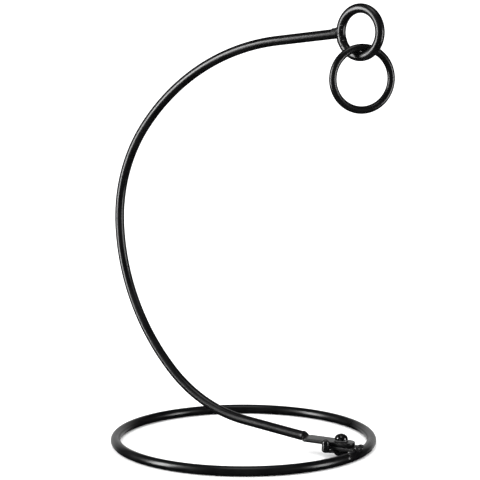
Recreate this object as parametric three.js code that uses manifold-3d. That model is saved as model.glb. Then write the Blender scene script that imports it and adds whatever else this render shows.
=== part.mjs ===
// Razor stand: a bent wire arm with a loose hanging ring, screwed to a round wire base.
// Millimetres, +Z up. The base ring is centred on the Z axis and rests on z = 0, and the arm
// stands in the plane y = 0: its screw is on the +X side, and it bows out over the -X side.
import * as THREE from "three";
import { mergeVertices } from "three/addons/utils/BufferGeometryUtils.js";
import Module from "manifold-3d";

const wasm = await Module();
wasm.setup();

// ---- Driving sizes ----

// Play between pieces that touch, and the running gaps round the screw
const touchGap = 0.2;
const weldGap = 0.15;
const sweepClearance = 0.5; // the arm passes over the base ring with this much to spare

// Base ring and the paddle welded to it
const ringRadius = 73.5;
const ringWire = 5.5;
const screwInset = 10.7; // from the ring's centreline in to the screw's axis
const paddleWidth = 11;
const paddleThickness = 2.1;
const paddleReach = 10; // from the screw to the paddle's round end
const paddleOverlap = 1.6; // how far the welded end reaches in over the ring's inner side
const paddleWeldLength = 11;
const paddleWeldWidth = 5;
const paddleWeldHeight = 4;
const paddleWeldRise = 1.4; // from the paddle's top to the weld's
const paddleWeldGap = 0.5; // from the strap's tail to the weld

// Arm: a round rod whose lower end is flattened into a strap
const armWire = 5.5;
const strapWidth = 11;
const strapThickness = 2.1;
const strapLift = 0.6; // from the rod's underside up to the strap's
const strapTail = 8; // past the screw
const strapReach = 24; // from the screw to the shoulder
const shoulderLength = 3;
const neckLength = 4; // over which the rod's width spreads to the strap's
const shoulderBendRadius = 14;
const lowerSlope = 7; // degrees that the straight lower stretch rises at
const lowerStraight = 36.6;
const armBends = [
  { radius: 82, degrees: 38 },
  { radius: 127.4, degrees: 42 },
  { radius: 92.1, degrees: 40 },
  { radius: 126.4, degrees: 46.8 },
];
const upperStraight = 39.6;

// Eye ring at the arm's end, and the loose ring linked through it
const eyeRadius = 12.9;
const eyeWire = 5.2;
const eyeRise = 0.5; // from the rod's axis up to the eye's centre
const eyeTurn = 10; // degrees that the eye is turned from the arm's plane
const eyeWeldLength = 5.4;
const eyeWeldRadius = 3.9;
const hangingRadius = 16.8;
const hangingWire = 4.1;
const hangingTurn = 47; // degrees that the loose ring is turned from the arm's plane
const hangingLean = 3.5; // degrees that it rests up the eye's outer side from the lowest point

// Clamp: domed screw, captive washer and cast nut with a stop finger
const screwSize = 3.9;
const holePlay = 0.6; // hole over screw, on the diameter
const headDiameter = 7.4;
const headHeight = 3.3;
const headRim = 0.6;
const recessSpan = 3.8;
const recessWidth = 0.9;
const recessDepth = 1.6;
const washerDiameter = 8;
const washerThickness = 0.6;
const nutFloor = 0.8; // from the table up to the nut
const nutHubDiameter = 8;
const nutArmRoot = 2.4; // the arm's thickness at the hub
const nutArmTip = 0.9; // and at the finger
const nutArmWidth = 4.4;
const nutArmAngle = 33.5; // degrees that the nut's arm points back from square across the strap
const fingerDiameter = 4.6;
const fingerGap = 0.5; // from the strap's edge to the finger
const fingerRise = 2.2; // above the strap's top
const fingerChamfer = 1.2; // round the finger's foot

// Facets
const wireSides = 12;
const ringSteps = 96;
const armSteps = 84;
const linkSteps = 48;
const roundSteps = 24;

// ---- Places worked out from the sizes ----

const screwX = ringRadius - screwInset;
const rodBottom = ringWire + sweepClearance;
const strapBottom = rodBottom + strapLift;
const strapTop = strapBottom + strapThickness;
const paddleTop = strapBottom - touchGap;
const paddleBottom = paddleTop - paddleThickness;
const paddleEnd = ringRadius - ringWire / 2 + paddleOverlap;
const nutTop = paddleBottom - touchGap;
const washerBottom = strapTop + touchGap;
const washerTop = washerBottom + washerThickness;
const headBottom = washerTop + touchGap;
const holeDiameter = screwSize + holePlay;

const degrees = THREE.MathUtils.degToRad;

// ---- Solids ----

// A closed geometry as a manifold-3d solid, and back again.
function toSolid(geometry) {
  const bare = geometry.clone();
  bare.deleteAttribute("normal");
  bare.deleteAttribute("uv");
  const merged = mergeVertices(bare, 1e-4);
  return new wasm.Manifold(
    new wasm.Mesh({
      numProp: 3,
      vertProperties: new Float32Array(merged.attributes.position.array),
      triVerts: new Uint32Array(merged.index.array),
    }),
  );
}

function toGeometry(solid) {
  const mesh = solid.getMesh();
  const geometry = new THREE.BufferGeometry();
  geometry.setAttribute(
    "position",
    new THREE.BufferAttribute(new Float32Array(mesh.vertProperties), 3),
  );
  geometry.setIndex(new THREE.BufferAttribute(new Uint32Array(mesh.triVerts), 1));
  geometry.computeVertexNormals();
  return geometry;
}

// A solid turned from a profile of [radius, z] points about the Z axis through (x, y).
function turned(profile, steps, x = 0, y = 0) {
  const points = profile.map(([radius, z]) => new THREE.Vector2(radius, z));
  return new THREE.LatheGeometry(points, steps).rotateX(Math.PI / 2).translate(x, y, 0);
}

// A round bar standing on z = bottom at (x, y).
function upright(diameter, bottom, top, x, y) {
  const radius = diameter / 2;
  const profile = [
    [0, bottom],
    [radius, bottom],
    [radius, top],
    [0, top],
  ];
  return turned(profile, roundSteps, x, y);
}

// A flat outline in X and Y, with its bottom face at z = bottom.
function plate(outline, bottom, thickness) {
  const settings = { depth: thickness, bevelEnabled: false, curveSegments: roundSteps / 2 };
  return new THREE.ExtrudeGeometry(outline, settings).translate(0, 0, bottom);
}

// A ring of round wire in the plane that holds Z and the X axis turned by the angle.
function standingRing(radius, wire, turn, centre) {
  return new THREE.TorusGeometry(radius, wire / 2, wireSides, linkSteps)
    .rotateX(Math.PI / 2)
    .rotateZ(turn)
    .translate(centre.x, centre.y, centre.z);
}

// A ball stretched to the three half lengths, turned about Z and moved to the centre.
function bead(halfX, halfY, halfZ, turn, centre) {
  return new THREE.SphereGeometry(1, roundSteps, roundSteps / 2)
    .rotateX(Math.PI / 2)
    .scale(halfX, halfY, halfZ)
    .rotateZ(turn)
    .translate(centre.x, centre.y, centre.z);
}

// ---- Arm path ----

// A run of straights and arcs in the plane y = 0, as one curve by length.
class WirePath extends THREE.Curve {
  constructor(x, z, heading, runs) {
    super();
    this.start = { x, z, heading };
    this.runs = runs;
    this.total = runs.reduce((sum, run) => sum + run.length, 0);
  }

  getPoint(t, target = new THREE.Vector3()) {
    let { x, z, heading } = this.start;
    let left = t * this.total;
    for (const run of this.runs) {
      const length = Math.min(left, run.length);
      const turn = (run.turn * length) / run.length;
      const chord = turn === 0 ? length : (2 * length * Math.sin(turn / 2)) / turn;
      x += chord * Math.cos(heading + turn / 2);
      z += chord * Math.sin(heading + turn / 2);
      heading += turn;
      left -= length;
    }
    return target.set(x, 0, z);
  }
}

// From the flat of the strap back to the shoulder, up the bow and forward to the eye.
function armPath(rodReach) {
  const slope = degrees(lowerSlope);
  const bends = armBends.map((bend) => ({
    length: bend.radius * degrees(bend.degrees),
    turn: -degrees(bend.degrees),
  }));
  const runs = [
    { length: shoulderLength, turn: 0 },
    { length: shoulderBendRadius * slope, turn: -slope },
    { length: lowerStraight, turn: 0 },
    ...bends,
    { length: upperStraight + rodReach, turn: 0 },
  ];
  const startX = screwX - strapReach + shoulderLength;
  return new WirePath(startX, rodBottom + armWire / 2, Math.PI, runs);
}

// The rod stops short of the eye's wire, and its axis runs on to the eye's own centreline.
const armEnd = armPath(0).getPoint(1);
const eyeCentre = new THREE.Vector3(
  armEnd.x + eyeRadius * Math.cos(degrees(eyeTurn)),
  -eyeRadius * Math.sin(degrees(eyeTurn)),
  armEnd.z + eyeRise,
);
const linkSpacing = eyeRadius + hangingRadius - (eyeWire + hangingWire) / 2 - touchGap;
const linkReach = linkSpacing * Math.sin(degrees(hangingLean));
const hangingCentre = new THREE.Vector3(
  eyeCentre.x + linkReach * Math.cos(degrees(eyeTurn)),
  eyeCentre.y - linkReach * Math.sin(degrees(eyeTurn)),
  eyeCentre.z - linkSpacing * Math.cos(degrees(hangingLean)),
);

// ---- Base ----

function baseRing() {
  // The section is a regular polygon with a flat side down, which rests on z = 0.
  const corner = ringWire / 2 / Math.cos(Math.PI / wireSides);
  const profile = [];
  for (let side = 0; side <= wireSides; side++) {
    const angle = (2 * Math.PI * ((side % wireSides) + 0.5)) / wireSides;
    profile.push([
      ringRadius + corner * Math.cos(angle),
      ringWire / 2 + corner * Math.sin(angle),
    ]);
  }
  return turned(profile, ringSteps);
}

// A flat with its round end past the screw and its square end on the ring, and the screw's hole.
function paddleOutline() {
  const half = paddleWidth / 2;
  const roundEnd = screwX - paddleReach + half;
  const outline = new THREE.Shape();
  outline.moveTo(paddleEnd, -half);
  outline.lineTo(paddleEnd, half);
  outline.lineTo(roundEnd, half);
  outline.absarc(roundEnd, 0, half, Math.PI / 2, (3 * Math.PI) / 2, false);
  outline.lineTo(paddleEnd, -half);
  outline.holes.push(screwHole());
  return outline;
}

function screwHole() {
  const hole = new THREE.Path();
  hole.absarc(screwX, 0, holeDiameter / 2, 0, 2 * Math.PI, true);
  return hole;
}

// The ring's wire with the weld's gap round it.
function ringRelief(extra) {
  return new THREE.TorusGeometry(
    ringRadius,
    ringWire / 2 / Math.cos(Math.PI / wireSides) + extra,
    2 * wireSides,
    ringSteps,
  ).translate(0, 0, ringWire / 2);
}

function basePaddle() {
  const flat = toSolid(plate(paddleOutline(), paddleBottom, paddleThickness));
  return toGeometry(flat.subtract(toSolid(ringRelief(weldGap))));
}

function paddleWeld() {
  const weldStart = screwX + strapTail + paddleWeldGap;
  const centre = new THREE.Vector3(
    weldStart + paddleWeldWidth / 2,
    0,
    paddleTop + paddleWeldRise - paddleWeldHeight / 2,
  );
  const blob = toSolid(
    bead(paddleWeldWidth / 2, paddleWeldLength / 2, paddleWeldHeight / 2, 0, centre),
  );
  const paddleRelief = new THREE.BoxGeometry(
    2 * paddleWeldWidth,
    2 * paddleWeldLength,
    2 * paddleWeldHeight,
  ).translate(
    paddleEnd + weldGap - paddleWeldWidth,
    0,
    paddleTop + weldGap - paddleWeldHeight,
  );
  return toGeometry(
    blob.subtract(toSolid(ringRelief(weldGap))).subtract(toSolid(paddleRelief)),
  );
}

// ---- Arm ----

function strapOutline() {
  const half = strapWidth / 2;
  const neck = armWire / 2;
  const shoulder = screwX - strapReach;
  const wide = shoulder + neckLength;
  const tail = screwX + strapTail - half;
  const outline = new THREE.Shape();
  outline.moveTo(shoulder, -neck);
  outline.lineTo(wide, -half);
  outline.lineTo(tail, -half);
  outline.absarc(tail, 0, half, -Math.PI / 2, Math.PI / 2, false);
  outline.lineTo(wide, half);
  outline.lineTo(shoulder, neck);
  outline.closePath();
  outline.holes.push(screwHole());
  return outline;
}

// The wedge that slopes the rod's top down to the strap.
function shoulderCut() {
  const shoulder = screwX - strapReach;
  const over = rodBottom + armWire * 1.02;
  const side = new THREE.Shape();
  side.moveTo(shoulder, over);
  side.lineTo(shoulder + shoulderLength, strapTop);
  side.lineTo(shoulder + shoulderLength + armWire, strapTop);
  side.lineTo(shoulder + shoulderLength + armWire, over);
  side.closePath();
  return new THREE.ExtrudeGeometry(side, { depth: 2 * armWire, bevelEnabled: false })
    .rotateX(Math.PI / 2)
    .translate(0, armWire, 0);
}

function armRod() {
  const section = new THREE.Shape();
  section.absarc(0, 0, armWire / 2, 0, 2 * Math.PI, false);
  const rod = new THREE.ExtrudeGeometry(section, {
    steps: armSteps,
    curveSegments: wireSides / 2,
    extrudePath: armPath(-eyeWire / 2 - touchGap),
  });
  const strap = plate(strapOutline(), strapBottom, strapThickness);
  const strapHole = toSolid(
    upright(holeDiameter, strapBottom - armWire, strapTop + armWire, screwX, 0),
  );
  return toGeometry(
    toSolid(rod).subtract(toSolid(shoulderCut())).add(toSolid(strap)).subtract(strapHole),
  );
}

function eyeRing() {
  return standingRing(eyeRadius, eyeWire, -degrees(eyeTurn), eyeCentre);
}

function eyeWeld() {
  const centre = armEnd.clone().setX(armEnd.x - eyeWire / 2);
  const blob = toSolid(bead(eyeWeldLength / 2, eyeWeldRadius, eyeWeldRadius, 0, centre));
  const slope = degrees(armBends.reduce((sum, bend) => sum + bend.degrees, 0) + lowerSlope - 180);
  const rodRelief = new THREE.CylinderGeometry(
    armWire / 2 + weldGap,
    armWire / 2 + weldGap,
    4 * eyeWeldLength,
    roundSteps,
  )
    .rotateZ(Math.PI / 2)
    .rotateY(slope)
    .translate(armEnd.x, 0, armEnd.z);
  const eyeRelief = standingRing(
    eyeRadius,
    eyeWire + 2 * weldGap,
    -degrees(eyeTurn),
    eyeCentre,
  );
  return toGeometry(blob.subtract(toSolid(rodRelief)).subtract(toSolid(eyeRelief)));
}

function hangingRing() {
  return standingRing(hangingRadius, hangingWire, degrees(hangingTurn), hangingCentre);
}

// ---- Clamp ----

function clampScrew() {
  const radius = headDiameter / 2;
  const dome = headHeight - headRim;
  const profile = [
    [0, nutFloor + touchGap],
    [screwSize / 2, nutFloor + touchGap],
    [screwSize / 2, headBottom],
    [radius, headBottom],
  ];
  const domeSteps = 6;
  for (let step = 0; step <= domeSteps; step++) {
    const angle = (Math.PI / 2) * (step / domeSteps);
    profile.push([
      step === domeSteps ? 0 : radius * Math.cos(angle),
      headBottom + headRim + dome * Math.sin(angle),
    ]);
  }
  const top = headBottom + headHeight;
  const slot = (spanX, spanY) =>
    new THREE.BoxGeometry(spanX, spanY, 2 * recessDepth).translate(screwX, 0, top);
  return toGeometry(
    toSolid(turned(profile, roundSteps, screwX, 0))
      .subtract(toSolid(slot(recessSpan, recessWidth)))
      .subtract(toSolid(slot(recessWidth, recessSpan))),
  );
}

function screwWasher() {
  const inner = holeDiameter / 2;
  const outer = washerDiameter / 2;
  const profile = [
    [inner, washerBottom],
    [outer, washerBottom],
    [outer, washerTop],
    [inner, washerTop],
    [inner, washerBottom],
  ];
  return turned(profile, roundSteps, screwX, 0);
}

// A bar from the screw out to the point, flat on top and thinner towards its end.
function nutArm(point) {
  const reach = Math.hypot(point.x - screwX, point.y);
  const side = new THREE.Shape();
  side.moveTo(0, nutTop - nutArmRoot);
  side.lineTo(reach, nutTop - nutArmTip);
  side.lineTo(reach, nutTop);
  side.lineTo(0, nutTop);
  side.closePath();
  return new THREE.ExtrudeGeometry(side, { depth: nutArmWidth, bevelEnabled: false })
    .rotateX(Math.PI / 2)
    .translate(0, nutArmWidth / 2, 0)
    .rotateZ(Math.atan2(point.y, point.x - screwX))
    .translate(screwX, 0, 0);
}

// The nut's round hub, and its arm, which ends in a finger that stands beside the strap.
function clampNut() {
  const across = strapWidth / 2 + fingerGap + fingerDiameter / 2;
  const finger = { x: screwX - across * Math.tan(degrees(nutArmAngle)), y: -across };
  const radius = fingerDiameter / 2;
  const foot = nutTop - nutArmTip;
  const fingerTop = strapTop + fingerRise;
  const profile = [
    [0, foot],
    [radius - fingerChamfer, foot],
    [radius, foot + fingerChamfer],
  ];
  const domeSteps = 5;
  for (let step = 0; step <= domeSteps; step++) {
    const angle = (Math.PI / 2) * (step / domeSteps);
    profile.push([
      step === domeSteps ? 0 : radius * Math.cos(angle),
      fingerTop - radius + radius * Math.sin(angle),
    ]);
  }
  const threadHole = upright(screwSize + 2 * weldGap, -nutTop, 2 * nutTop, screwX, 0);
  return toGeometry(
    toSolid(upright(nutHubDiameter, nutFloor, nutTop, screwX, 0))
      .add(toSolid(nutArm(finger)))
      .add(toSolid(turned(profile, roundSteps, finger.x, finger.y)))
      .subtract(toSolid(threadHole)),
  );
}

// ---- Materials and assembly ----

function satinCoat() {
  return new THREE.MeshStandardMaterial({ color: 0x141416, roughness: 0.42, metalness: 0.1 });
}

function weldCoat() {
  return new THREE.MeshStandardMaterial({ color: 0x101012, roughness: 0.25, metalness: 0.1 });
}

function glossBlack() {
  return new THREE.MeshStandardMaterial({ color: 0x08080a, roughness: 0.14, metalness: 0.3 });
}

function namedMesh(name, geometry, material) {
  const mesh = new THREE.Mesh(geometry, material);
  mesh.name = name;
  return mesh;
}

function groupOf(name, ...meshes) {
  const group = new THREE.Group();
  group.name = name;
  group.add(...meshes);
  return group;
}

const razorStand = groupOf(
  "razor_stand",
  groupOf(
    "base",
    namedMesh("base_ring", baseRing(), satinCoat()),
    namedMesh("base_paddle", basePaddle(), satinCoat()),
    namedMesh("paddle_weld", paddleWeld(), weldCoat()),
    namedMesh("clamp_nut", clampNut(), glossBlack()),
  ),
  groupOf(
    "arm",
    namedMesh("arm_rod", armRod(), satinCoat()),
    namedMesh("eye_ring", eyeRing(), satinCoat()),
    namedMesh("eye_weld", eyeWeld(), weldCoat()),
  ),
  groupOf("link", namedMesh("hanging_ring", hangingRing(), satinCoat())),
  groupOf(
    "clamp",
    namedMesh("screw_washer", screwWasher(), glossBlack()),
    namedMesh("clamp_screw", clampScrew(), glossBlack()),
  ),
);

export default razorStand;
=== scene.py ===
import math

import bmesh
import bpy
import numpy as np
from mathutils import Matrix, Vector


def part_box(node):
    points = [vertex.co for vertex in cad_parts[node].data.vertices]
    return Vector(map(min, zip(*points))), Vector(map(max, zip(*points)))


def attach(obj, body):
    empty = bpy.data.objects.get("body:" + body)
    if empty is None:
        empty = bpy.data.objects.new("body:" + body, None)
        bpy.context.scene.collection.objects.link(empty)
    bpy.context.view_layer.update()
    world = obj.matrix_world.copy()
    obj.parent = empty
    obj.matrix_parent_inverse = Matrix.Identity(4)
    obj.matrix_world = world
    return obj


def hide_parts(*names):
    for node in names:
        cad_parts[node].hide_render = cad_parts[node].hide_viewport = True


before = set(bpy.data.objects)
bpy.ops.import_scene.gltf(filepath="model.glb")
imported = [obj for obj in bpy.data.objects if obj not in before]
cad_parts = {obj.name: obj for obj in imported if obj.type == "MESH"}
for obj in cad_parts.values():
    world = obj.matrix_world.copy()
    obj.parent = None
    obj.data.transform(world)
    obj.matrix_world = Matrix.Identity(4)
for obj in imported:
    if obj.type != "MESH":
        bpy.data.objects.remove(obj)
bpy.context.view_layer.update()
mm = 0.001
touchGap = 0.2 * mm  # left between pieces that touch
poleRadius = 0.02 * mm  # turned shapes stop this far from their axis and are closed by a fan
poleAngle = 0.06  # and balls stop this far, in radians, from their poles


def signedVolume(points, quads):
    # sum over both triangles of each quad of corner a dot (b cross c), over 6: positive when faces point out
    a, b, c, d = (points[quads[:, k]] for k in range(4))
    return (np.einsum("ij,ij->i", a, np.cross(b, c)) + np.einsum("ij,ij->i", a, np.cross(c, d))).sum() / 6


def gridQuads(rows, columns, closedRows):
    # neighbouring rows and columns joined by quads; columns always close on themselves
    row = np.arange(rows if closedRows else rows - 1)[:, None]
    column = np.arange(columns)[None, :]
    nextRow = (row + 1) % rows
    nextColumn = (column + 1) % columns
    corners = [row * columns + column, row * columns + nextColumn,
               nextRow * columns + nextColumn, nextRow * columns + column]
    return np.stack([corner.ravel() for corner in corners], axis=1)


def makePiece(name, points, faces, edge=None, sharpAngle=40):
    # points and faces to a smooth mesh, with creases kept sharp and the edge mask stored on its points
    mesh = bpy.data.meshes.new(name)
    mesh.from_pydata(points.tolist(), [], faces)
    mesh.update()
    mesh.polygons.foreach_set("use_smooth", [True] * len(mesh.polygons))
    mesh.set_sharp_from_angle(angle=math.radians(sharpAngle))
    if edge is not None:
        attribute = mesh.attributes.new("edge", "FLOAT", "POINT")
        attribute.data.foreach_set("value", np.asarray(edge, dtype=np.float32).ravel())
    piece = bpy.data.objects.new(name, mesh)
    bpy.context.scene.collection.objects.link(piece)
    return piece


def surfaceFromGrid(name, grid, closedRows=False, edge=None, sharpAngle=40):
    # a grid of rows of section points; an open run is closed by a point at the middle of each end row. The
    # volume is taken about the grid's own middle, because an open run's sign hangs on where it is taken from
    rows, columns = grid.shape[:2]
    points = grid.reshape(-1, 3)
    quads = gridQuads(rows, columns, closedRows)
    if signedVolume(points - points.mean(axis=0), quads) < 0:
        quads = quads[:, ::-1]
    faces = quads.tolist()
    if not closedRows:
        points, faces = closeEnds(points, faces, rows, columns, quads)
        if edge is not None:
            edge = np.concatenate([edge.ravel(), [edge[0].mean(), edge[-1].mean()]])
    return makePiece(name, points, faces, edge, sharpAngle)


def closeEnds(points, faces, rows, columns, quads):
    # fans of triangles from each end row to its middle point, wound to agree with the quads
    forward = quads[0, 0] == 0 and quads[0, 1] == 1
    ends = [(0, len(points)), (rows - 1, len(points) + 1)]
    middles = [points[:columns].mean(axis=0), points[-columns:].mean(axis=0)]
    for row, middle in ends:
        ring = row * columns + np.arange(columns)
        ahead = np.roll(ring, -1)
        outward = (row == 0) == forward
        first, second = (ahead, ring) if outward else (ring, ahead)
        faces += np.stack([first, second, np.full(columns, middle)], axis=1).tolist()
    return np.concatenate([points, middles]), faces


def smoothStep(low, high, value):
    # 0 below low, 1 above high, and an easy S between
    t = np.clip((value - low) / (high - low), 0, 1)
    return t * t * (3 - 2 * t)


def bump(value, middle, width):
    # a bell of height 1 at the middle, gone two widths away
    return np.exp(-((value - middle) / width) ** 2)


def wireRing(radius, wire, turns, sides, swell=None):
    # round a circle in X and Y, a section circle of half the wire, swollen by swell(along, around)
    along = np.linspace(0, 2 * math.pi, turns, endpoint=False)[:, None]
    around = np.linspace(0, 2 * math.pi, sides, endpoint=False)[None, :]
    section = np.full((turns, sides), wire / 2)
    if swell is not None:
        section = section + swell(along, around)
    out = radius + section * np.cos(around)
    return np.stack([out * np.cos(along), out * np.sin(along), section * np.sin(around)], axis=2)


def standUp(grid, turn, centre):
    # the ring's flat X and Y become level distance and height, then it is turned about Z and moved
    level, depth, height = grid[..., 0], -grid[..., 2], grid[..., 1]
    c, s = math.cos(turn), math.sin(turn)
    turned = np.stack([level * c - depth * s, level * s + depth * c, height], axis=2)
    return turned + np.array(centre)


def turnedPiece(name, profile, centre, steps=96):
    # each profile point (radius, height) carried round the vertical through the centre
    radius, height = np.array(profile).T
    around = np.linspace(0, 2 * math.pi, steps, endpoint=False)[None, :]
    x = centre[0] + radius[:, None] * np.cos(around)
    y = centre[1] + radius[:, None] * np.sin(around)
    z = np.repeat(height[:, None], steps, axis=1)
    return surfaceFromGrid(name, np.stack([x, y, z], axis=2))


def roundedProfile(corners, rounding, steps=5):
    # a chain of straight lines whose inner corners are cut by short arcs of the rounding
    points = [corners[0]]
    for before, corner, after in zip(corners, corners[1:], corners[2:]):
        before, corner, after = (np.array(p, dtype=float) for p in (before, corner, after))
        toBefore, toAfter = before - corner, after - corner
        lengthBefore, lengthAfter = np.linalg.norm(toBefore), np.linalg.norm(toAfter)
        cut = min(rounding, 0.45 * lengthBefore, 0.45 * lengthAfter)
        start = corner + toBefore / lengthBefore * cut
        end = corner + toAfter / lengthAfter * cut
        for t in np.linspace(0, 1, steps):
            points.append(tuple((1 - t) ** 2 * start + 2 * t * (1 - t) * corner + t * t * end))
    points.append(corners[-1])
    return points


def lump(centre, size, seed, wobble=0.12, rows=24, columns=32):
    # a ball stretched to size whose radius wavers by a few slow waves, as a drop of weld does
    rng = np.random.default_rng(seed)
    lift = np.linspace(-math.pi / 2 + poleAngle, math.pi / 2 - poleAngle, rows)[:, None]
    around = np.linspace(0, 2 * math.pi, columns, endpoint=False)[None, :]
    waver = np.ones((rows, columns))
    for wave in range(1, 4):
        phaseAround, phaseLift = rng.uniform(0, 2 * math.pi, 2)
        waver = waver + wobble / wave * np.cos(wave * around + phaseAround) * np.cos(lift) * \
            np.cos(wave * lift + phaseLift)
    x = size[0] * waver * np.cos(lift) * np.cos(around)
    y = size[1] * waver * np.cos(lift) * np.sin(around)
    z = size[2] * waver * np.sin(lift) * np.ones_like(around)
    return np.stack([x, y, z], axis=2) + np.array(centre)


def joined(name, pieces):
    # one object from several, all of them closed
    bpy.ops.object.select_all(action="DESELECT")
    for piece in pieces:
        piece.select_set(True)
    bpy.context.view_layer.objects.active = pieces[0]
    bpy.ops.object.join()
    pieces[0].name = name
    pieces[0].data.name = name
    return pieces[0]


def applyModifier(piece, kind, **settings):
    # one modifier, set and baked in at once
    modifier = piece.modifiers.new(kind.lower(), kind)
    for setting, value in settings.items():
        setattr(modifier, setting, value)
    bpy.ops.object.select_all(action="DESELECT")
    piece.select_set(True)
    bpy.context.view_layer.objects.active = piece
    bpy.ops.object.modifier_apply(modifier=modifier.name)


def mendSlivers(piece, gap=0.002 * mm):
    # corners closer than the gap become one, and faces left without an area go
    skin = bmesh.new()
    skin.from_mesh(piece.data)
    bmesh.ops.remove_doubles(skin, verts=skin.verts, dist=gap)
    bmesh.ops.dissolve_degenerate(skin, edges=skin.edges, dist=gap)
    skin.to_mesh(piece.data)
    skin.free()


def cutAway(piece, cutter):
    # the cutter's shape taken out of the piece, and the cutter removed
    applyModifier(piece, "BOOLEAN", operation="DIFFERENCE", object=cutter, solver="EXACT")
    bpy.data.objects.remove(cutter)
    mendSlivers(piece)
    piece.data.set_sharp_from_angle(angle=math.radians(40))


def dropSpecks(piece, fewest=50):
    # specks of a few corners, left inside by the fusing, are found by walking out over each island's edges
    skin = bmesh.new()
    skin.from_mesh(piece.data)
    unseen = set(skin.verts)
    while unseen:
        island = {unseen.pop()}
        front = island
        while front:
            front = {link.other_vert(corner) for corner in front for link in corner.link_edges} - island
            island = island | front
        unseen -= island
        if len(island) < fewest:
            bmesh.ops.delete(skin, geom=list(island), context="VERTS")
    skin.to_mesh(piece.data)
    skin.free()


def fused(piece, voxel, rounds):
    # overlapping closed shapes made one skin, then relaxed, as a casting's fillets are
    applyModifier(piece, "REMESH", mode="VOXEL", voxel_size=voxel)
    dropSpecks(piece)
    applyModifier(piece, "SMOOTH", factor=0.5, iterations=rounds)
    piece.data.polygons.foreach_set("use_smooth", [True] * len(piece.data.polygons))


def uprightHole(centre, radius, low, high):
    # a standing cylinder used as a drill
    profile = [(poleRadius, low), (radius, low), (radius, high), (poleRadius, high)]
    return turnedPiece("hole", profile, centre, steps=64)


def middle(node):
    # halfway between a part's lowest and highest corners
    low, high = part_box(node)
    return (low + high) / 2


ringLow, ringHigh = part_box("base_ring")
ringWire = ringHigh.z - ringLow.z
ringRadius = ringHigh.x - ringWire / 2
screwLow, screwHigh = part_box("clamp_screw")
screwX = middle("clamp_screw").x
armLow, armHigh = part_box("arm_rod")
eyeCentre = middle("eye_ring")
eyeLow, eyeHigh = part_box("eye_ring")
hangingCentre = middle("hanging_ring")
hangingLow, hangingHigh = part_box("hanging_ring")
print("frame read: ring radius", round(ringRadius, 4), "screw at", round(screwX, 4))


class Wiring:
    # short calls for placing and joining nodes in one tree
    def __init__(self, tree):
        self.tree = tree

    def add(self, kind, **settings):
        node = self.tree.nodes.new(kind)
        for name, value in settings.items():
            setattr(node, name, value)
        return node

    def join(self, output, target):
        self.tree.links.new(output, target)

    def maths(self, operation, first, second=None, clamp=False):
        node = self.add("ShaderNodeMath", operation=operation, use_clamp=clamp)
        for socket, value in zip(node.inputs, (first, second)):
            if value is None:
                continue
            if isinstance(value, (int, float)):
                socket.default_value = value
            else:
                self.join(value, socket)
        return node.outputs[0]

    def blendColour(self, amount, first, second):
        node = self.add("ShaderNodeMix", data_type="RGBA")
        self.join(amount, node.inputs["Factor"])
        for socket, value in ((node.inputs["A"], first), (node.inputs["B"], second)):
            if isinstance(value, tuple):
                socket.default_value = value
            else:
                self.join(value, socket)
        return node.outputs["Result"]

    def remap(self, value, low, high, newLow, newHigh):
        node = self.add("ShaderNodeMapRange")
        self.join(value, node.inputs["Value"])
        for name, number in (("From Min", low), ("From Max", high), ("To Min", newLow), ("To Max", newHigh)):
            if isinstance(number, (int, float)):
                node.inputs[name].default_value = number
            else:
                self.join(number, node.inputs[name])
        return node.outputs["Result"]


def newGroup(name, inputs, outputs):
    # an empty shader group with its named sockets made
    tree = bpy.data.node_groups.new(name, "ShaderNodeTree")
    for label, kind, value in inputs:
        socket = tree.interface.new_socket(name=label, in_out="INPUT", socket_type=kind)
        if value is not None:
            socket.default_value = value
    for label, kind in outputs:
        tree.interface.new_socket(name=label, in_out="OUTPUT", socket_type=kind)
    wiring = Wiring(tree)
    return wiring, wiring.add("NodeGroupInput"), wiring.add("NodeGroupOutput")


floatKind, colourKind, vectorKind = "NodeSocketFloat", "NodeSocketColor", "NodeSocketVector"


def makeCoatGroup():
    # sprayed and baked coat: fine orange peel, slow shifts of tone and gloss, and a few dust nibs under it
    wiring, given, out = newGroup(
        "bakedCoat",
        [("Place", vectorKind, None), ("Deep Colour", colourKind, (0.006, 0.006, 0.007, 1)),
         ("Thin Colour", colourKind, (0.02, 0.02, 0.022, 1)), ("Peel Size", floatKind, 2400.0),
         ("Patch Size", floatKind, 70.0), ("Gloss Roughness", floatKind, 0.25),
         ("Dull Roughness", floatKind, 0.4), ("Nib Size", floatKind, 380.0)],
        [("Colour", colourKind), ("Roughness", floatKind), ("Height", floatKind)])
    peel = wiring.add("ShaderNodeTexNoise")
    peel.inputs["Detail"].default_value = 2.0
    wiring.join(given.outputs["Place"], peel.inputs["Vector"])
    wiring.join(given.outputs["Peel Size"], peel.inputs["Scale"])
    patch = wiring.add("ShaderNodeTexNoise")
    patch.inputs["Detail"].default_value = 4.0
    patch.inputs["Roughness"].default_value = 0.6
    wiring.join(given.outputs["Place"], patch.inputs["Vector"])
    wiring.join(given.outputs["Patch Size"], patch.inputs["Scale"])
    nibs = wiring.add("ShaderNodeTexVoronoi")
    wiring.join(given.outputs["Place"], nibs.inputs["Vector"])
    wiring.join(given.outputs["Nib Size"], nibs.inputs["Scale"])
    nib = wiring.remap(nibs.outputs["Distance"], 0.05, 0.16, 1.0, 0.0)
    tone = wiring.remap(patch.outputs["Fac"], 0.35, 0.7, 0.0, 1.0)
    wiring.join(wiring.blendColour(tone, given.outputs["Deep Colour"], given.outputs["Thin Colour"]),
                out.inputs["Colour"])
    wiring.join(wiring.remap(patch.outputs["Fac"], 0.3, 0.7, given.outputs["Gloss Roughness"],
                             given.outputs["Dull Roughness"]), out.inputs["Roughness"])
    low = wiring.maths("MULTIPLY", peel.outputs["Fac"], 0.7)
    wiring.join(wiring.maths("ADD", low, wiring.maths("MULTIPLY", nib, 0.5)), out.inputs["Height"])
    return wiring.tree


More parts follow.
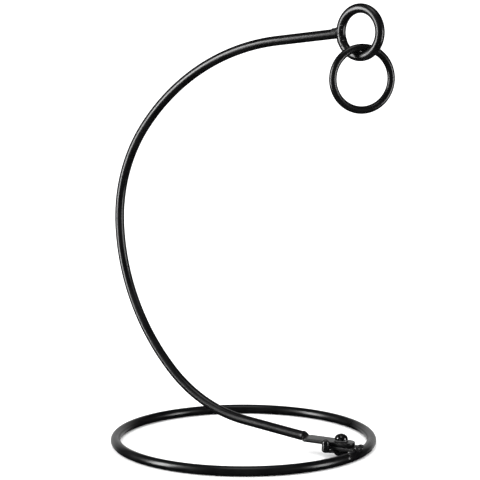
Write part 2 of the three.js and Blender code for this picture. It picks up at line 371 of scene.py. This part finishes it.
def makeRubGroup():
    # how far the coat is rubbed: full at a point, broken up by noise, and gone at the reach
    wiring, given, out = newGroup(
        "rubbedThrough",
        [("Place", vectorKind, None), ("Point", vectorKind, None), ("Reach", floatKind, 0.003),
         ("Amount", floatKind, 0.5)],
        [("Mask", floatKind)])
    distance = wiring.add("ShaderNodeVectorMath", operation="DISTANCE")
    wiring.join(given.outputs["Place"], distance.inputs[0])
    wiring.join(given.outputs["Point"], distance.inputs[1])
    share = wiring.maths("DIVIDE", distance.outputs["Value"], given.outputs["Reach"])
    near = wiring.maths("SUBTRACT", 1.0, share, clamp=True)
    ragged = wiring.add("ShaderNodeTexNoise")
    ragged.inputs["Scale"].default_value = 1500.0
    ragged.inputs["Detail"].default_value = 4.0
    wiring.join(given.outputs["Place"], ragged.inputs["Vector"])
    broken = wiring.maths("MULTIPLY", near, wiring.remap(ragged.outputs["Fac"], 0.4, 0.65, 0.0, 1.0))
    wiring.join(wiring.maths("MULTIPLY", broken, given.outputs["Amount"], clamp=True), out.inputs["Mask"])
    return wiring.tree


def makeScuffGroup():
    # hairline scuffs: long thin noise streaks, stretched along Z, shown only where a slow noise lets them
    wiring, given, out = newGroup(
        "hairScuffs",
        [("Place", vectorKind, None), ("Across", floatKind, 1800.0), ("Amount", floatKind, 0.3)],
        [("Mask", floatKind)])
    stretch = wiring.add("ShaderNodeMapping")
    stretch.inputs["Scale"].default_value = (1.0, 1.0, 0.06)
    stretch.inputs["Rotation"].default_value = (0.5, 0.3, 0.0)
    wiring.join(given.outputs["Place"], stretch.inputs["Vector"])
    streaks = wiring.add("ShaderNodeTexNoise")
    wiring.join(stretch.outputs["Vector"], streaks.inputs["Vector"])
    wiring.join(given.outputs["Across"], streaks.inputs["Scale"])
    zones = wiring.add("ShaderNodeTexNoise")
    zones.inputs["Scale"].default_value = 45.0
    wiring.join(given.outputs["Place"], zones.inputs["Vector"])
    shown = wiring.maths("MULTIPLY", wiring.remap(streaks.outputs["Fac"], 0.62, 0.7, 0.0, 1.0),
                         wiring.remap(zones.outputs["Fac"], 0.5, 0.65, 0.0, 1.0))
    wiring.join(wiring.maths("MULTIPLY", shown, given.outputs["Amount"]), out.inputs["Mask"])
    return wiring.tree


coatGroup, rubGroup, scuffGroup = makeCoatGroup(), makeRubGroup(), makeScuffGroup()


bareSteel = (0.32, 0.31, 0.3, 1)
scuffedCoat = (0.018, 0.018, 0.019, 1)
chipSize, chipDetail = 900.0, 5.0
wornRoughness = 0.12  # added where the coat is rubbed through
reliefStrength = 0.6

satinWire = dict(deep=(0.0014, 0.0014, 0.0016, 1), thin=(0.004, 0.004, 0.0043, 1), peel=1500.0, patch=60.0,
                 gloss=0.26, dull=0.36, nib=320.0, bumpDepth=0.000006, coat=0.25, coatRoughness=0.2,
                 scuffs=0.3)
satinFlat = dict(satinWire, gloss=0.3, dull=0.42, thin=(0.008, 0.008, 0.0085, 1), scuffs=0.6)
# painted sheen: the welds' thin tone is much lighter than the wire's, so the welds look grey as lit coat
# would. The patchy mix of deep and thin tones is the coat's own random tone
weldPaintedSheen = dict(satinWire, thin=(0.03, 0.03, 0.031, 1), gloss=0.24, dull=0.4, peel=900.0, bumpDepth=0.00002,
                coat=0.35, scuffs=0.1)
glossCasting = dict(satinWire, gloss=0.16, dull=0.26, peel=1200.0, bumpDepth=0.00002, coat=0.4,
                    coatRoughness=0.14, scuffs=0.2)
screwBlack = dict(glossCasting, gloss=0.08, dull=0.15, bumpDepth=0.00001, coat=0.7, coatRoughness=0.08,
                  scuffs=0.3)
# painted highlight: the washer's coat is mid grey, far lighter than the other black parts, so that a light
# line of sheen shows along it under the dome
washerPaintedSheen = dict(screwBlack, deep=(0.04, 0.04, 0.041, 1), thin=(0.055, 0.055, 0.056, 1), gloss=0.3,
                   dull=0.4)


def coatedMaterial(name, look, rubs=(), edgeRub=0.0):
    # one coat: its tone, gloss and peel from the groups, rubbed through at the points and along the edges
    material = bpy.data.materials.new(name)
    material.use_nodes = True
    wiring = Wiring(material.node_tree)
    shader = material.node_tree.nodes["Principled BSDF"]
    place = wiring.add("ShaderNodeTexCoord").outputs["Object"]
    coat = wiring.add("ShaderNodeGroup", node_tree=coatGroup)
    wiring.join(place, coat.inputs["Place"])
    for label, value in (("Deep Colour", look["deep"]), ("Thin Colour", look["thin"]),
                         ("Peel Size", look["peel"]), ("Patch Size", look["patch"]),
                         ("Gloss Roughness", look["gloss"]), ("Dull Roughness", look["dull"]),
                         ("Nib Size", look["nib"])):
        coat.inputs[label].default_value = value
    scuffs = wiring.add("ShaderNodeGroup", node_tree=scuffGroup)
    wiring.join(place, scuffs.inputs["Place"])
    scuffs.inputs["Amount"].default_value = look["scuffs"]
    colour = wiring.blendColour(scuffs.outputs["Mask"], coat.outputs["Colour"], scuffedCoat)
    worn = None
    for point, reach, amount in rubs:
        rub = wiring.add("ShaderNodeGroup", node_tree=rubGroup)
        wiring.join(place, rub.inputs["Place"])
        rub.inputs["Point"].default_value = point
        rub.inputs["Reach"].default_value = reach
        rub.inputs["Amount"].default_value = amount
        mask = rub.outputs["Mask"]
        worn = mask if worn is None else wiring.maths("MAXIMUM", worn, mask)
    if edgeRub:
        edge = wiring.add("ShaderNodeAttribute", attribute_name="edge")
        chips = wiring.add("ShaderNodeTexNoise")
        chips.inputs["Scale"].default_value = chipSize
        chips.inputs["Detail"].default_value = chipDetail
        wiring.join(place, chips.inputs["Vector"])
        chipped = wiring.maths("MULTIPLY", edge.outputs["Fac"],
                               wiring.remap(chips.outputs["Fac"], 0.5, 0.68, 0.0, edgeRub))
        worn = chipped if worn is None else wiring.maths("MAXIMUM", worn, chipped)
    roughness = coat.outputs["Roughness"]
    if worn is not None:
        colour = wiring.blendColour(worn, colour, bareSteel)
        wiring.join(worn, shader.inputs["Metallic"])
        roughness = wiring.maths("ADD", roughness, wiring.maths("MULTIPLY", worn, wornRoughness))
    wiring.join(colour, shader.inputs["Base Color"])
    wiring.join(roughness, shader.inputs["Roughness"])
    relief = wiring.add("ShaderNodeBump")
    relief.inputs["Strength"].default_value = reliefStrength
    relief.inputs["Distance"].default_value = look["bumpDepth"]
    wiring.join(coat.outputs["Height"], relief.inputs["Height"])
    wiring.join(relief.outputs["Normal"], shader.inputs["Normal"])
    shader.inputs["Coat Weight"].default_value = look["coat"]
    shader.inputs["Coat Roughness"].default_value = look["coatRoughness"]
    return material


def finishPiece(piece, material, body, slot, *nodes):
    # its coat, the body it moves with, and the parts it stands for
    piece.data.materials.clear()
    piece.data.materials.append(material)
    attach(piece, body)
    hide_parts(*nodes)
    print("made", piece.name, len(piece.data.polygons), "faces")


baseRing = dict(turns=720, sides=48, seamAngle=math.radians(-10), seamWidth=0.9 * mm, seamSwell=0.4 * mm,
                ripple=0.05 * mm, rippleLength=0.35 * mm, footRub=0.5, footHeight=0.4 * mm)


def makeBaseRing():
    # a ring of round bar; at the seam the section swells by a rippled bell, dressed flat on the underside
    def seam(along, around):
        distance = (along + math.pi - baseRing["seamAngle"]) % (2 * math.pi) - math.pi
        distance = distance * ringRadius
        wave = np.sin(distance / baseRing["rippleLength"] + 3 * around)
        ripples = 1 + baseRing["ripple"] / baseRing["seamSwell"] * wave
        upper = smoothStep(-0.9, 0.2, np.sin(around))
        return baseRing["seamSwell"] * bump(distance, 0, baseRing["seamWidth"]) * ripples * upper
    grid = wireRing(ringRadius, ringWire, baseRing["turns"], baseRing["sides"], seam)
    grid[..., 2] = np.clip(grid[..., 2] + ringWire / 2, 0, ringWire)
    edge = smoothStep(baseRing["footHeight"], 0, grid[..., 2])
    ring = surfaceFromGrid("baseRing", grid, closedRows=True, edge=edge)
    material = coatedMaterial("satinCoatBase", satinWire, edgeRub=baseRing["footRub"])
    finishPiece(ring, material, "base", "coated_wire", "base_ring")


paddle = dict(corner=8.0, columns=64, intoRing=0.6 * mm, rubReach=5.5 * mm, rubAmount=0.5, edgeRub=0.5)
holeSpill = 2 * mm  # how far a hole's cutter stands out of the metal
roundStartAngle = 0.02  # rounded ends start this far, in radians, from a point
leastWidth = 1e-4  # the least squared share of the width at a rounded end


def makePaddle():
    # a flat bar: each section across is a squared-off ellipse, and the free end is rounded in plan
    low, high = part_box("base_paddle")
    halfWidth, halfHeight = (high.y - low.y) / 2, (high.z - low.z) / 2
    roundStart = low.x + halfWidth
    run = np.concatenate([low.x + halfWidth * (1 - np.cos(np.linspace(roundStartAngle, math.pi / 2, 40))),
                          np.linspace(roundStart, high.x + paddle["intoRing"], 30)[1:]])
    inside = np.clip((roundStart - run) / halfWidth, 0, 1)
    width = halfWidth * np.sqrt(np.maximum(1 - inside ** 2, leastWidth))
    height, level = np.full_like(run, halfHeight), np.full_like(run, (low.z + high.z) / 2)
    power = np.full_like(run, paddle["corner"])
    grid, edge = flatSections(run, width, height, level, power, paddle["columns"])
    piece = surfaceFromGrid("basePaddle", grid, edge=edge)
    cutAway(piece, uprightHole((screwX, 0), screwHole["radius"], low.z - holeSpill, high.z + holeSpill))
    rub = ((screwX, 0, high.z), paddle["rubReach"], paddle["rubAmount"])
    material = coatedMaterial("satinCoatPaddle", satinFlat, rubs=[rub], edgeRub=paddle["edgeRub"])
    finishPiece(piece, material, "base", "coated_flat", "base_paddle")


def flatSections(run, width, height, level, power, columns):
    # sections in Y and Z at each run of X: cosine and sine, their signs kept, to the power 2 over the given
    # power, which is round at 2 and squared off above it; the edge mask is a bell where the corners are
    around = np.linspace(0, 2 * math.pi, columns, endpoint=False)[None, :]
    cosine, sine = np.cos(around), np.sin(around)
    exponent = (2 / power)[:, None]
    across = width[:, None] * np.sign(cosine) * np.abs(cosine) ** exponent
    up = height[:, None] * np.sign(sine) * np.abs(sine) ** exponent
    x = np.repeat(run[:, None], columns, axis=1)
    edge = bump(np.abs(sine) - np.abs(cosine), 0, 0.25) * smoothStep(2.2, 4, power)[:, None]
    return np.stack([x, across, up + level[:, None]], axis=2), edge


screwHole = dict(radius=2.25 * mm)
paddleBead = dict(length=11 * mm, lumps=6, width=1.9 * mm, depth=1.4 * mm, height=1.6 * mm, sink=0.15 * mm,
                  straySide=0.35 * mm, strayUp=0.12 * mm, wobble=0.16, voxel=0.12 * mm, relax=3)


def makePaddleWeld():
    # a row of overlapping drops along the paddle's end, lying where it meets the ring
    low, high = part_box("paddle_weld")
    count = paddleBead["lumps"]
    drops = []
    for index in range(count):
        share = (index + 0.5) / count - 0.5
        y = share * (paddleBead["length"] - 2 * paddleBead["width"])
        x = (low.x + high.x) / 2 + paddleBead["straySide"] * math.sin(2.4 * index) - y * y / (2 * ringRadius)
        z = high.z - paddleBead["height"] - paddleBead["sink"] + paddleBead["strayUp"] * math.cos(1.9 * index)
        size = (paddleBead["width"], paddleBead["depth"], paddleBead["height"])
        grid = lump((x, y, z), size, seed=20 + index, wobble=paddleBead["wobble"])
        drops.append(surfaceFromGrid(f"drop{index}", grid))
    piece = joined("paddleWeld", drops)
    fused(piece, paddleBead["voxel"], paddleBead["relax"])
    # its coat is lightened with the welds' painted sheen
    finishPiece(piece, coatedMaterial("weldSkinPaddle", weldPaintedSheen), "base", "coated_weld", "paddle_weld")


castNut = dict(rounding=0.5 * mm, hubFoot=0.86, hubFootHeight=1.2 * mm, armWidth=4.4 * mm, armRoot=2.4 * mm,
               armTip=0.9 * mm, armCorner=4.0, armTuck=0.6, fingerDiameter=4.6 * mm, fingerTaper=0.94,
               footChamfer=1.2 * mm, voxel=0.14 * mm, relax=6, threadRadius=2.1 * mm, rubReach=2.6 * mm,
               rubAmount=0.25)


def makeClampNut():
    # hub, round-ended arm and standing finger, fused to one casting with soft inner corners
    low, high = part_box("clamp_nut")
    fingerRadius = castNut["fingerDiameter"] / 2
    finger = (low.x + fingerRadius, low.y + fingerRadius)
    armHalf = castNut["armWidth"] / 2
    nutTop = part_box("base_paddle")[0].z - touchGap
    armBottom = nutTop - castNut["armTip"]
    hubRadius = high.y
    hub = roundedProfile([(poleRadius, low.z), (castNut["hubFoot"] * hubRadius, low.z),
                          (hubRadius, low.z + castNut["hubFootHeight"]),
                          (hubRadius, nutTop), (poleRadius, nutTop)], castNut["rounding"])
    chamfer = castNut["footChamfer"]
    neckRadius, neckTop = castNut["fingerTaper"] * fingerRadius, high.z - fingerRadius
    shaft = roundedProfile([(poleRadius, armBottom), (fingerRadius - chamfer, armBottom),
                            (fingerRadius, armBottom + chamfer), (neckRadius, neckTop)], castNut["rounding"])
    dome = [(neckRadius * math.cos(a) + poleRadius, neckTop + fingerRadius * math.sin(a))
            for a in np.linspace(0, math.pi / 2, 14)[1:]]
    pieces = [turnedPiece("hub", hub, (screwX, 0)), turnedPiece("finger", shaft + dome, finger),
              nutArm("fingerArm", finger, armHalf, nutTop)]
    piece = joined("clampNut", pieces)
    fused(piece, castNut["voxel"], castNut["relax"])
    cutAway(piece, uprightHole((screwX, 0), castNut["threadRadius"], low.z - holeSpill, high.z))
    rub = ((finger[0], finger[1], high.z), castNut["rubReach"], castNut["rubAmount"])
    material = coatedMaterial("glossCastingNut", glossCasting, rubs=[rub])
    finishPiece(piece, material, "base", "gloss_casting", "clamp_nut")


def nutArm(name, end, half, top):
    # a bar from the screw to the end point, thinner outwards, its sections squared off and its end rounded
    reach = math.hypot(end[0] - screwX, end[1]) - castNut["armTuck"] * half
    heading = math.atan2(end[1], end[0] - screwX)
    run = np.concatenate([np.linspace(-1.0 * mm, reach, 20),
                          reach + half * np.sin(np.linspace(0.05, math.pi / 2 - 0.02, 24))])
    beyond = np.clip((run - reach) / half, 0, 1)
    width = half * np.sqrt(np.maximum(1 - beyond ** 2, leastWidth))
    share = np.clip(run / reach, 0, 1)
    thick = castNut["armRoot"] + (castNut["armTip"] - castNut["armRoot"]) * share
    power = np.full_like(run, castNut["armCorner"])
    grid, _ = flatSections(run, width, thick / 2, top - thick / 2, power, columns=40)
    c, s = math.cos(heading), math.sin(heading)
    x, y = grid[..., 0].copy(), grid[..., 1].copy()
    grid[..., 0] = screwX + x * c - y * s
    grid[..., 1] = x * s + y * c
    return surfaceFromGrid(name, grid)


armShape = dict(wire=5.5 * mm, strapThickness=2.1 * mm, strapHalfWidth=5.5 * mm, strapReach=24 * mm,
                strapLift=0.6 * mm, corner=8.0, shoulderLength=2.2 * mm, shoulderStart=0.2 * mm,
                neckLength=3.6 * mm, shoulderBend=14 * mm, lowerSlope=7, lowerStraight=36.6 * mm,
                bends=[(82 * mm, 38), (127.4 * mm, 42), (92.1 * mm, 40), (126.4 * mm, 46.8)],
                upperStraight=39.6 * mm, intoEye=0.6 * mm, lip=0.18 * mm, lipPlace=0.5 * mm, columns=48,
                step=1.0 * mm, rubReach=5 * mm, rubAmount=0.35, edgeRub=0.45)
finerSteps = 40  # the centreline is summed this many times finer than it is kept


def armCentreline():
    # straights and arcs one after another by their lengths: heading is the turn gained so far, and the
    # place is the running sum of steps along the heading at each step's middle
    slope = math.radians(armShape["lowerSlope"])
    runs = [(armShape["shoulderBend"] * slope, -slope), (armShape["lowerStraight"], 0)]
    runs += [(radius * math.radians(angle), -math.radians(angle)) for radius, angle in armShape["bends"]]
    reach = armShape["upperStraight"] - eyeWire / 2 + armShape["intoEye"]
    runs.append((reach, 0))
    lengths = np.array([length for length, _ in runs])
    turns = np.array([turn for _, turn in runs])
    total = lengths.sum()
    stops = np.linspace(0, total, int(total / armShape["step"]) + 1)
    ends = np.cumsum(lengths)

    def heading(along):
        index = np.minimum(np.searchsorted(ends, along), len(runs) - 1)
        before = np.concatenate([[0], np.cumsum(turns)])[index]
        start = np.concatenate([[0], ends])[index]
        return math.pi + before + turns[index] * (along - start) / lengths[index]

    fine = np.linspace(0, total, finerSteps * (len(stops) - 1) + 1)
    centres = heading((fine[1:] + fine[:-1]) / 2)
    small = np.diff(fine)
    x = np.concatenate([[0], np.cumsum(small * np.cos(centres))])[::finerSteps]
    z = np.concatenate([[0], np.cumsum(small * np.sin(centres))])[::finerSteps]
    return x, z, heading(stops)


eyeTurn = math.radians(10)
hangingTurn = math.radians(47)
hangingLean = math.radians(3.5)
eyeWire = 5.25 * mm
eyeRadius = (eyeHigh.z - eyeLow.z - eyeWire) / 2
hangingWire = 4.2 * mm
hangingRadius = (hangingHigh.z - hangingLow.z - hangingWire) / 2


def makeArm():
    # flat strap sections grow into round rod sections at the shoulder, and the round section is then carried
    # along the centreline at right angles to it
    rodBottom, tailEnd = armLow.z, armHigh.x
    strapBottom = rodBottom + armShape["strapLift"]
    radius = armShape["wire"] / 2
    shoulder = screwX - armShape["strapReach"]
    half = armShape["strapHalfWidth"]
    roundStart = tailEnd - half
    run = np.concatenate([roundStart + half * np.cos(np.linspace(roundStartAngle, math.pi / 2, 36)),
                          np.linspace(roundStart, shoulder, 110)[1:]])
    beyond = np.clip((run - roundStart) / half, 0, 1)
    neck = smoothStep(shoulder + armShape["neckLength"], shoulder, run)
    step = smoothStep(shoulder + armShape["shoulderLength"], shoulder + armShape["shoulderStart"], run)
    width = (half + (radius - half) * neck) * np.sqrt(np.maximum(1 - beyond ** 2, leastWidth))
    thickness = armShape["strapThickness"] + (armShape["wire"] - armShape["strapThickness"]) * step
    thickness = thickness + armShape["lip"] * bump(run, shoulder + armShape["lipPlace"], armShape["lipPlace"])
    power = armShape["corner"] + (2 - armShape["corner"]) * step
    level = strapBottom - armShape["strapLift"] * step + thickness / 2
    strap, strapEdge = flatSections(run, width, thickness / 2, level, power, armShape["columns"])
    x, z, heading = armCentreline()
    x, z = shoulder + x, rodBottom + radius + z
    around = np.linspace(0, 2 * math.pi, armShape["columns"], endpoint=False)[None, :]
    across = np.broadcast_to(radius * np.cos(around), (len(x), armShape["columns"]))
    outward = radius * np.sin(around)
    rod = np.stack([x[:, None] + outward * np.sin(heading)[:, None], across,
                    z[:, None] - outward * np.cos(heading)[:, None]], axis=2)
    grid = np.concatenate([strap, rod[1:]])
    edge = np.concatenate([strapEdge, np.zeros((len(x) - 1, armShape["columns"]))])
    piece = surfaceFromGrid("armRod", grid, edge=edge)
    strapTop = strapBottom + armShape["strapThickness"]
    hole = uprightHole((screwX, 0), screwHole["radius"], strapBottom - holeSpill, strapTop + holeSpill)
    cutAway(piece, hole)
    rub = ((screwX, 0, strapTop), armShape["rubReach"], armShape["rubAmount"])
    material = coatedMaterial("satinCoatArm", satinWire, rubs=[rub], edgeRub=armShape["edgeRub"])
    finishPiece(piece, material, "arm", "coated_wire", "arm_rod")


linkShape = dict(turns=256, sides=40, seamSwell=0.15 * mm, seamWidth=1.0 * mm, seamLobes=0.25,
                 eyeSeam=math.radians(200), hangingSeam=math.radians(60), eyeRubReach=2.4 * mm,
                 hangingRubReach=2.2 * mm, rubAmount=0.12)


def ringSeam(radius, seamAngle):
    # a low bell where the wire's two ends are welded
    def seam(along, around):
        distance = ((along + math.pi - seamAngle) % (2 * math.pi) - math.pi) * radius
        lobes = 1 + linkShape["seamLobes"] * np.sin(3 * around + 1)
        return linkShape["seamSwell"] * bump(distance, 0, linkShape["seamWidth"]) * lobes
    return seam


def contactPoint():
    # where the loose ring rests on the eye, a little up from its lowest point
    inner = eyeRadius - eyeWire / 2
    side = inner * math.sin(hangingLean)
    return (eyeCentre.x + side * math.cos(eyeTurn), eyeCentre.y - side * math.sin(eyeTurn),
            eyeCentre.z - inner * math.cos(hangingLean))


def makeEyeRing():
    # a ring of wire stood up and turned to the arm's side
    grid = wireRing(eyeRadius, eyeWire, linkShape["turns"], linkShape["sides"],
                    ringSeam(eyeRadius, linkShape["eyeSeam"]))
    piece = surfaceFromGrid("eyeRing", standUp(grid, -eyeTurn, eyeCentre), closedRows=True)
    rub = (contactPoint(), linkShape["eyeRubReach"], linkShape["rubAmount"])
    material = coatedMaterial("satinCoatEye", satinWire, rubs=[rub])
    finishPiece(piece, material, "arm", "coated_wire", "eye_ring")


def makeHangingRing():
    # a larger, thinner ring, stood up and turned across the eye
    grid = wireRing(hangingRadius, hangingWire, linkShape["turns"], linkShape["sides"],
                    ringSeam(hangingRadius, linkShape["hangingSeam"]))
    piece = surfaceFromGrid("hangingRing", standUp(grid, hangingTurn, hangingCentre), closedRows=True)
    rub = (contactPoint(), linkShape["hangingRubReach"], linkShape["rubAmount"])
    material = coatedMaterial("satinCoatHanging", satinWire, rubs=[rub])
    finishPiece(piece, material, "loose_ring", "coated_wire", "hanging_ring")


eyeFillet = dict(length=4.6 * mm, rise=1.5 * mm, narrowing=0.08, slimness=0.985, setBack=0.4 * mm, drops=6,
                 dropSize=0.5 * mm, dropStray=0.15 * mm, dropSpread=52, dropStart=0.35, dropLean=-1.1,
                 leanStray=0.5, dropSink=0.9)


def makeEyeWeld():
    # a collar round the rod's end that flares up and down along the eye's wire, with a few drops on the wire
    meet = np.array([eyeCentre.x - eyeRadius * math.cos(eyeTurn), eyeCentre.y + eyeRadius * math.sin(eyeTurn),
                     eyeCentre.z])
    slope = armCentreline()[2][-1]
    share = np.linspace(0, 1, 30)[:, None]
    around = np.linspace(0, 2 * math.pi, 64, endpoint=False)[None, :]
    flare = eyeFillet["rise"] * np.abs(np.sin(around)) ** 3
    radius = armShape["wire"] / 2 * eyeFillet["slimness"] + flare * share ** 3
    back = -eyeFillet["length"] * (1 - share) - eyeFillet["setBack"] + 0 * around
    x = meet[0] + back * math.cos(slope) - radius * np.sin(around) * math.sin(slope)
    z = meet[2] + back * math.sin(slope) + radius * np.sin(around) * math.cos(slope)
    y = meet[1] * share + radius * np.cos(around) * (1 - eyeFillet["narrowing"] * share)
    collar = surfaceFromGrid("collar", np.stack([x, y, z], axis=2))
    drops = [collar]
    sunk = eyeFillet["dropSink"] * eyeWire / 2
    for index in range(eyeFillet["drops"]):
        place = index / (eyeFillet["drops"] - 1) - eyeFillet["dropStart"]
        angle = math.radians(180 + eyeFillet["dropSpread"] * place)
        lean = eyeFillet["dropLean"] + eyeFillet["leanStray"] * math.sin(2.1 * index)
        out = eyeRadius - sunk * math.cos(lean)
        level, depth = out * math.cos(angle), sunk * math.sin(lean)
        centre = (eyeCentre.x + level * math.cos(eyeTurn) + depth * math.sin(eyeTurn),
                  eyeCentre.y - level * math.sin(eyeTurn) + depth * math.cos(eyeTurn),
                  eyeCentre.z + out * math.sin(angle))
        size = eyeFillet["dropSize"] + eyeFillet["dropStray"] * math.cos(1.7 * index)
        drops.append(surfaceFromGrid(f"drop{index}", lump(centre, (size, size, size), seed=40 + index)))
    piece = joined("eyeWeld", drops)
    # its coat is lightened with the welds' painted sheen
    finishPiece(piece, coatedMaterial("weldSkinEye", weldPaintedSheen), "arm", "coated_weld", "eye_weld")


screwShape = dict(rimHeight=0.6 * mm, rimRounding=0.15 * mm, domePower=1.15, recessSpan=3.8 * mm,
                  recessWidth=0.9 * mm, recessDepth=1.6 * mm, recessTaper=0.6, recessFloor=0.9,
                  recessTurn=math.radians(38), shankRadius=1.95 * mm, pitch=0.7 * mm, threadDepth=0.18 * mm,
                  threadStart=0.4 * mm, threadStop=0.3 * mm, tipTaper=0.5 * mm, bevel=0.08 * mm,
                  rubReach=2.4 * mm, rubAmount=0.35, rubDepth=0.6 * mm)


def makeScrew():
    # a plain rim, then a dome whose height goes as the sine and whose radius as a power of the cosine; the
    # shank's radius ripples as a cosine of the height, once a pitch, as a thread does
    headRadius = (screwHigh.x - screwLow.x) / 2
    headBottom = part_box("screw_washer")[1].z + touchGap
    top = screwHigh.z
    dome = top - headBottom - screwShape["rimHeight"]
    shank = screwShape["shankRadius"]
    heights = np.linspace(screwLow.z + screwShape["threadStart"], headBottom - screwShape["threadStop"], 180)
    groove = screwShape["threadDepth"] * (0.5 + 0.5 * np.cos(2 * math.pi * heights / screwShape["pitch"]))
    rounding = screwShape["rimRounding"]
    angle = np.linspace(0, math.pi / 2, 32)
    domeRadius = headRadius * np.maximum(np.cos(angle), 0) ** screwShape["domePower"] + poleRadius
    domeRadius = np.minimum(domeRadius, headRadius)
    domeHeight = headBottom + screwShape["rimHeight"] + dome * np.sin(angle)
    profile = [(poleRadius, screwLow.z), (shank - screwShape["tipTaper"], screwLow.z)]
    profile += list(zip(shank - groove, heights)) + [(shank, headBottom)]
    profile += [(headRadius - rounding, headBottom), (headRadius, headBottom + rounding)]
    profile += list(zip(domeRadius, domeHeight))
    piece = turnedPiece("clampScrew", profile, (screwX, 0), steps=128)
    for turn in (0, math.pi / 2):
        cutAway(piece, recessWing(turn, top))
    applyModifier(piece, "BEVEL", width=screwShape["bevel"], segments=2, limit_method="ANGLE",
                  angle_limit=math.radians(50))
    mendSlivers(piece)
    piece.data.set_sharp_from_angle(angle=math.radians(40))
    rub = ((screwX, 0, top - screwShape["rubDepth"]), screwShape["rubReach"], screwShape["rubAmount"])
    material = coatedMaterial("screwBlack", screwBlack, rubs=[rub])
    finishPiece(piece, material, "screw", "screw_black", "clamp_screw")


def recessWing(turn, top):
    # a wedge that is wide at the dome's top and narrows downwards, one arm of the driver recess
    span, width, depth = (screwShape[key] / 2 for key in ("recessSpan", "recessWidth", "recessDepth"))
    taper = screwShape["recessTaper"]
    upper = np.array([(-span, -width), (span, -width), (span, width), (-span, width)])
    lower = upper * np.array([taper, screwShape["recessFloor"]])
    heading = turn + screwShape["recessTurn"]
    c, s = math.cos(heading), math.sin(heading)
    points = []
    for outline, z in ((lower, top - 2 * depth), (upper, top + depth)):
        for x, y in outline:
            points.append((screwX + x * c - y * s, x * s + y * c, z))
    faces = [(3, 2, 1, 0), (4, 5, 6, 7), (0, 1, 5, 4), (1, 2, 6, 5), (2, 3, 7, 6), (3, 0, 4, 7)]
    return makePiece("recess", np.array(points), faces)


washerCorner = 0.18 * mm


def makeWasher():
    # a flat ring with soft corners: its profile closes on itself, so the rows of the grid close too
    low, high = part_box("screw_washer")
    outer, inner = (high.x - low.x) / 2, screwHole["radius"]
    corner = washerCorner
    around = np.linspace(0, 2 * math.pi, 96, endpoint=False)[None, :]
    turn = np.linspace(0, 2 * math.pi, 32, endpoint=False)[:, None]
    across = (outer - inner) / 2
    tall = (high.z - low.z) / 2
    out = np.clip((across * 1.5) * np.cos(turn), corner - across, across - corner) + corner * np.cos(turn)
    up = np.clip((tall * 3) * np.sin(turn), corner - tall, tall - corner) + corner * np.sin(turn)
    radius = (outer + inner) / 2 + out
    grid = np.stack([screwX + radius * np.cos(around), radius * np.sin(around),
                     (low.z + high.z) / 2 + up + 0 * around], axis=2)
    piece = surfaceFromGrid("screwWasher", grid, closedRows=True, sharpAngle=60)
    # its coat carries the painted highlight: mid grey in place of black
    finishPiece(piece, coatedMaterial("washerPaintedSheen", washerPaintedSheen), "washer", "screw_black", "screw_washer")


cameraView = dict(turn=30.0, pitch=7.336, right=0.002, back=-0.955, height=0.2405, lens=127.28)
floorHalf, floorDrop = 4.0, 0.1 * mm
worldWhite, worldGloss = (1.6, 1.6, 1.6, 1), (0.008, 0.008, 0.009, 1)
lightAim = (0, 0, 0.13)
softboxes = [
    # name, direction round the stand in degrees (0 is the camera's side), height, distance, width, tall,
    # power; the right one is low, so that the rod's level top doesn't mirror it white when seen from behind
    ("leftBox", -72, 0.25, 1.1, 0.35, 1.0, 16),
    ("rightBox", 68, 0.05, 1.1, 0.3, 0.7, 5.6),
    ("topBox", 0, 1.3, 0.3, 0.5, 0.5, 1.5),
    ("backBox", 180, 0.1, 1.3, 2.4, 1.2, 5),
]


def makeCamera():
    # set back along its own heading and a little to the side, tipped down by the pitch
    data = bpy.data.cameras.new("camera")
    data.lens = cameraView["lens"]
    data.sensor_width = 36
    camera = bpy.data.objects.new("camera", data)
    turn = math.radians(cameraView["turn"])
    rightward = Vector((math.cos(turn), math.sin(turn), 0))
    away = Vector((-math.sin(turn), math.cos(turn), 0))
    place = -rightward * cameraView["right"] + away * cameraView["back"]
    camera.location = (place.x, place.y, cameraView["height"])
    camera.rotation_euler = (math.radians(90 - cameraView["pitch"]), 0, turn)
    bpy.context.scene.collection.objects.link(camera)
    bpy.context.scene.camera = camera


def makeFloor():
    # a wide pale square, a hair below the ring
    corners = np.array([(-1, -1, 0), (1, -1, 0), (1, 1, 0), (-1, 1, 0)]) * floorHalf
    floor = makePiece("floor", corners - np.array([0, 0, floorDrop]), [(0, 1, 2, 3)])
    material = bpy.data.materials.new("paleFloor")
    material.use_nodes = True
    shader = material.node_tree.nodes["Principled BSDF"]
    shader.inputs["Base Color"].default_value = (0.95, 0.95, 0.95, 1)
    shader.inputs["Roughness"].default_value = 1.0
    shader.inputs["Specular IOR Level"].default_value = 0.0
    floor.data.materials.append(material)
    floor.visible_glossy = False


def makeWorld():
    # white to the camera and to matt surfaces, nearly dark to gloss, so only the softboxes streak the wire
    world = bpy.data.worlds.new("studio")
    world.use_nodes = True
    bpy.context.scene.world = world
    wiring = Wiring(world.node_tree)
    background = world.node_tree.nodes["Background"]
    rays = wiring.add("ShaderNodeLightPath")
    glow = wiring.blendColour(rays.outputs["Is Glossy Ray"], worldWhite, worldGloss)
    wiring.join(glow, background.inputs["Color"])
    background.inputs["Strength"].default_value = 1.0


def makeLights():
    # each softbox on its circle round the stand, turned to face it
    for name, bearing, height, distance, width, tall, power in softboxes:
        data = bpy.data.lights.new(name, "AREA")
        data.shape = "RECTANGLE"
        data.size, data.size_y = width, tall
        data.energy = power
        light = bpy.data.objects.new(name, data)
        angle = math.radians(cameraView["turn"] - 90 + bearing)
        light.location = (distance * math.cos(angle), distance * math.sin(angle), height)
        aim = Vector(lightAim) - light.location
        light.rotation_euler = aim.to_track_quat("-Z", "Y").to_euler()
        bpy.context.scene.collection.objects.link(light)


makeCamera()
makeFloor()
makeWorld()
makeLights()
bpy.context.scene.view_settings.view_transform = "Standard"
print("studio ready")

makeBaseRing()
makePaddle()
makePaddleWeld()
makeClampNut()
makeArm()
makeEyeRing()
makeEyeWeld()
makeHangingRing()
makeScrew()
makeWasher()
